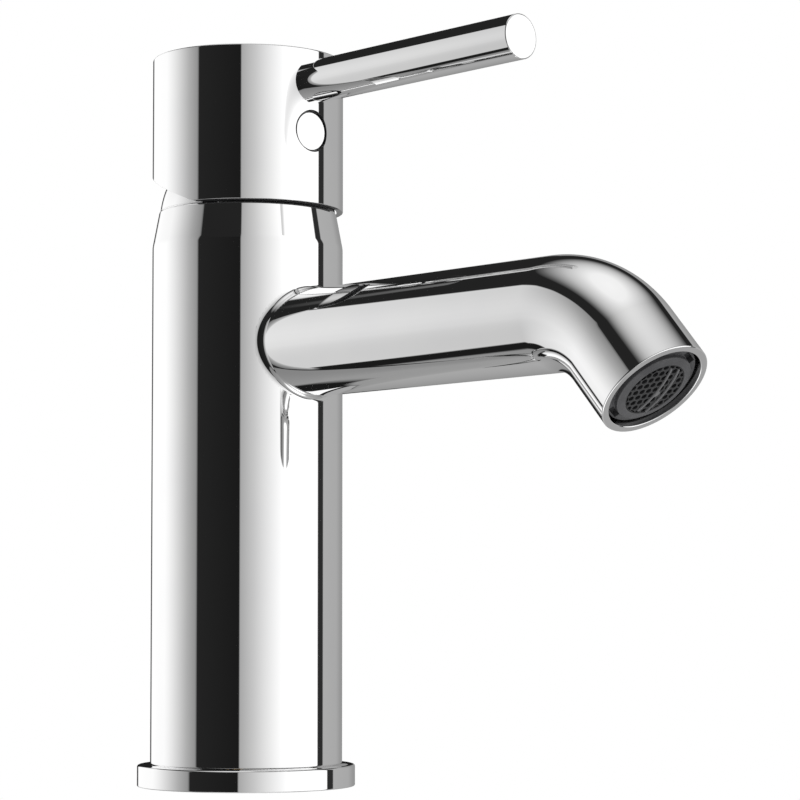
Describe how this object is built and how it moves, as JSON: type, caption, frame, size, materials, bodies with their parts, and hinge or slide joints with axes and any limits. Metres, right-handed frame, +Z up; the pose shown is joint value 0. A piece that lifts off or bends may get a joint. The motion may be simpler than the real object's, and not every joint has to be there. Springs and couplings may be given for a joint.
{
  "type": "bathroom mixer faucet",
  "caption": "Single-lever deck-mounted basin mixer: tubular body on a round flange, bent spout with aerator, ceramic-disc cartridge under a tilting and turning cap handle, clamp kit below.",
  "frame": {"origin": "centre of the flange's underside, on the deck and on the axis of the tap hole", "axes": "+Z up along the body's axis; -Y towards the user, along the spout and the lever; +X to the right as seen facing +Y"},
  "size_m": [0.051, 0.1593, 0.2331],
  "materials": {
    "chrome": "polished chrome plate",
    "brass": "machined",
    "steel": "zinc-plated or stainless, satin",
    "rubber": "moulded, matt",
    "grey_plastic": "moulded, satin",
    "white_plastic": "moulded, satin",
    "ceramic": "lapped"
  },
  "bodies": {
    "faucet_body": {"base_flange": "chrome", "base_gasket": "rubber", "main_body": "chrome", "base_block": "brass", "waterway_core": "brass", "spout_tube": "chrome", "spout_connector": "brass", "spout_o_ring": "rubber", "aerator_housing": "grey_plastic", "aerator_screen": "grey_plastic", "aerator_diffuser": "white_plastic", "aerator_gasket": "rubber", "cartridge_base": "white_plastic", "hot_port_seal": "rubber", "cold_port_seal": "rubber", "outlet_port_seal": "rubber", "fixed_ceramic_disc": "ceramic", "cartridge_housing": "grey_plastic", "temperature_limit_ring": "white_plastic", "retaining_nut": "brass", "dome_cover": "chrome", "fixing_stud": "steel", "rubber_washer": "rubber", "clamp_washer": "steel", "clamp_nut": "brass"},
    "turning_guide": {"stem_guide": "white_plastic", "pivot_pin": "steel"},
    "handle": {"lever_stem": "steel", "handle_cap": "chrome", "handle_lever": "chrome", "grub_screw": "steel", "indicator_plug": "chrome"},
    "sliding_disc": {"disc_carrier": "white_plastic", "moving_ceramic_disc": "ceramic"}
  },
  "joints": [
    {"name": "temperature_turn", "type": "hinge", "parent": "faucet_body", "child": "turning_guide", "pos_m": [0, 0, 0.1328], "axis": [0, 0, 1], "range_deg": [-50, 50]},
    {"name": "lever_lift", "type": "hinge", "parent": "turning_guide", "child": "handle", "pos_m": [0, 0, 0.1328], "axis": [-1, 0, 0], "range_deg": [0, 25]},
    {"name": "disc_slide", "type": "slide", "parent": "turning_guide", "child": "sliding_disc", "axis": [0, -1, 0], "range_m": [0, 0.003]}
  ],
  "couplings": [
    {"joint": "disc_slide", "follows": "lever_lift", "m_per_rad": 0.0065}
  ]
}
